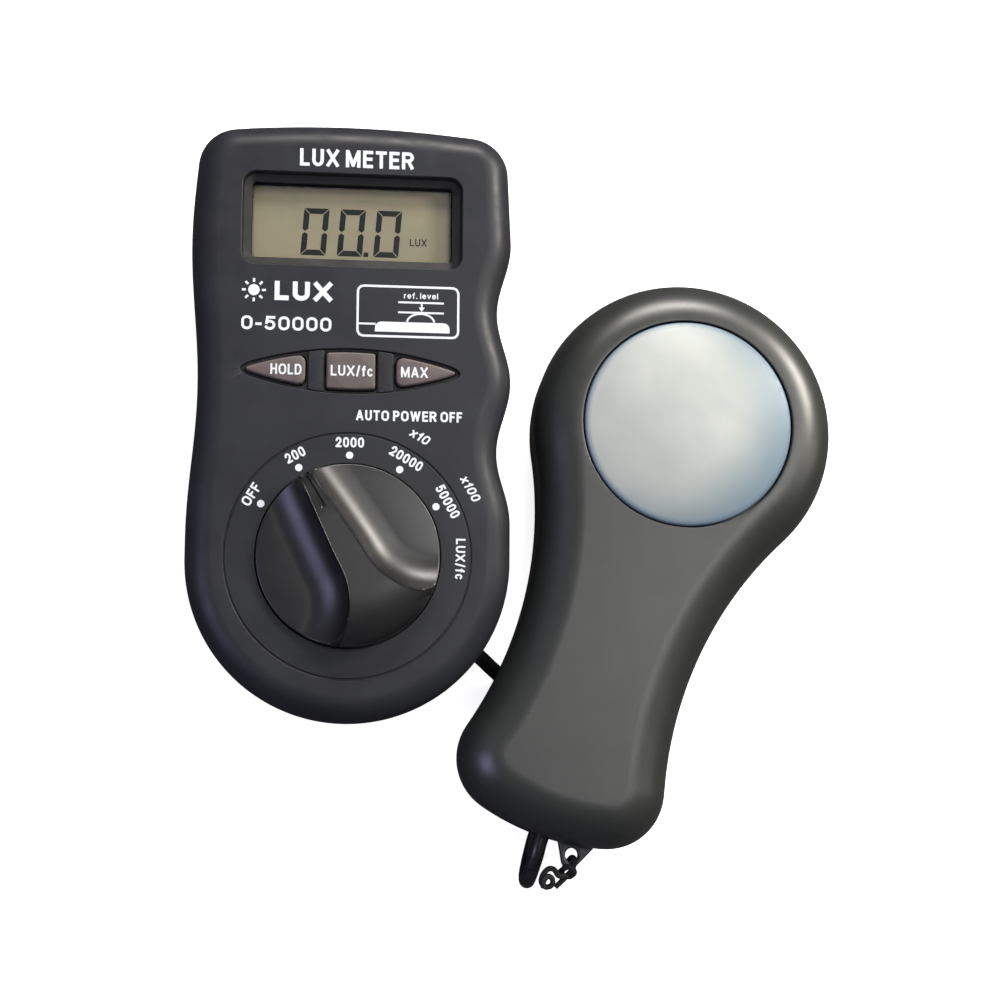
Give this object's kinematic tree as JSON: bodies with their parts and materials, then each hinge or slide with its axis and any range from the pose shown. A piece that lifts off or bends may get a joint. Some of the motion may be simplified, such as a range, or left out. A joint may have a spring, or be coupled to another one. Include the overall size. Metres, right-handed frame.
{
  "type": "handheld light meter",
  "caption": "Pocket light meter with a rotary range knob, press keys and a digital display, joined by a cord to a paddle-shaped sensor head with a domed white diffuser.",
  "frame": {"origin": "on the meter's flat back face, under the axis of its range knob", "axes": "+Z out of the meter's front face, +Y along the case towards the display, +X to the right seen from the front"},
  "size_m": [0.1467, 0.1701, 0.0382],
  "materials": {
    "case_plastic": "fine-grained satin",
    "door_plastic": "fine-grained satin",
    "window_plastic": "clear",
    "lcd_glass": "liquid crystal panel with a reflector",
    "frame_plastic": "moulded",
    "zebra_rubber": "layered conductive rubber",
    "board_laminate": "glass-fibre laminate with solder resist",
    "chip_epoxy": "moulded epoxy",
    "capacitor_sleeve": "sleeved aluminium can",
    "trimmer_blue": "moulded",
    "gold_plate": "gold-plated copper",
    "switch_plastic": "moulded",
    "knob_plastic": "satin",
    "rotor_plastic": "natural acetal",
    "contact_brass": "spring bronze",
    "steel": "zinc-plated or polished",
    "key_plastic": "soft-touch",
    "battery_can": "printed jacket",
    "vinyl": "flexible vinyl",
    "lead_wire": "insulated wire",
    "cord_vinyl": "glossy flexible jacket",
    "sensor_plastic": "fine-grained satin",
    "opal_acrylic": "translucent opal white",
    "black_rubber": "matt",
    "filter_glass": "coloured glass",
    "silicon": "polished silicon in a ceramic carrier",
    "tether_fabric": "braided"
  },
  "bodies": {
    "meter": {"front_case": "case_plastic", "rear_case": "case_plastic", "display_window": "window_plastic", "lcd_panel": "lcd_glass", "lcd_frame": "frame_plastic", "zebra_strips": "zebra_rubber", "circuit_board": "board_laminate", "main_chip": "chip_epoxy", "capacitors": "capacitor_sleeve", "trimmers": "trimmer_blue", "switch_tracks": "gold_plate", "button_switches": "switch_plastic", "detent_balls": "steel", "detent_springs": "steel", "battery": "battery_can", "battery_clip": "vinyl", "battery_leads": "lead_wire", "case_screws": "steel", "board_screws": "steel", "cord_bushing": "black_rubber", "cord_meter_end": "cord_vinyl", "board_leads": "lead_wire", "signal_cord": "cord_vinyl"},
    "battery_door": {"battery_door": "door_plastic"},
    "knob": {"range_knob": "knob_plastic", "knob_rotor": "rotor_plastic", "rotor_contacts": "contact_brass", "knob_screw": "steel"},
    "hold_key": {"hold_button": "key_plastic", "hold_plunger": "switch_plastic"},
    "units_key": {"units_button": "key_plastic", "units_plunger": "switch_plastic"},
    "max_key": {"max_button": "key_plastic", "max_plunger": "switch_plastic"},
    "cord_run": {"cord_loop": "cord_vinyl"},
    "sensor_head": {"cord_sensor_end": "cord_vinyl", "sensor_bushing": "black_rubber", "sensor_front_shell": "sensor_plastic", "sensor_rear_shell": "sensor_plastic", "diffuser_dome": "opal_acrylic", "dome_gasket": "black_rubber", "diode_holder": "frame_plastic", "filter_glass": "filter_glass", "photodiode": "silicon", "diode_board": "board_laminate", "diode_leads": "lead_wire", "sensor_screws": "steel", "tether_cord": "tether_fabric"}
  },
  "joints": [
    {"name": "knob_turn", "type": "hinge", "parent": "meter", "child": "knob", "pos_m": [0, 0, 0.03], "axis": [0, 0, 1], "range_deg": [-90, 30]},
    {"name": "hold_press", "type": "slide", "parent": "meter", "child": "hold_key", "axis": [0, 0, -1], "range_m": [0, 0.0006]},
    {"name": "units_press", "type": "slide", "parent": "meter", "child": "units_key", "axis": [0, 0, -1], "range_m": [0, 0.0006]},
    {"name": "max_press", "type": "slide", "parent": "meter", "child": "max_key", "axis": [0, 0, -1], "range_m": [0, 0.0006]},
    {"name": "door_slide", "type": "slide", "parent": "meter", "child": "battery_door", "axis": [0, -1, 0], "range_m": [0, 0.03]},
    {"name": "head_reach", "type": "slide", "parent": "meter", "child": "cord_run", "axis": [0.9397, -0.342, 0], "range_m": [0, 0.04], "deforming": ["signal_cord"]},
    {"name": "head_swing", "type": "hinge", "parent": "cord_run", "child": "sensor_head", "pos_m": [0.04257, -0.06751, 0.0149], "axis": [0, 0, 1], "range_deg": [-60, 0], "deforming": ["cord_sensor_end"]}
  ]
}
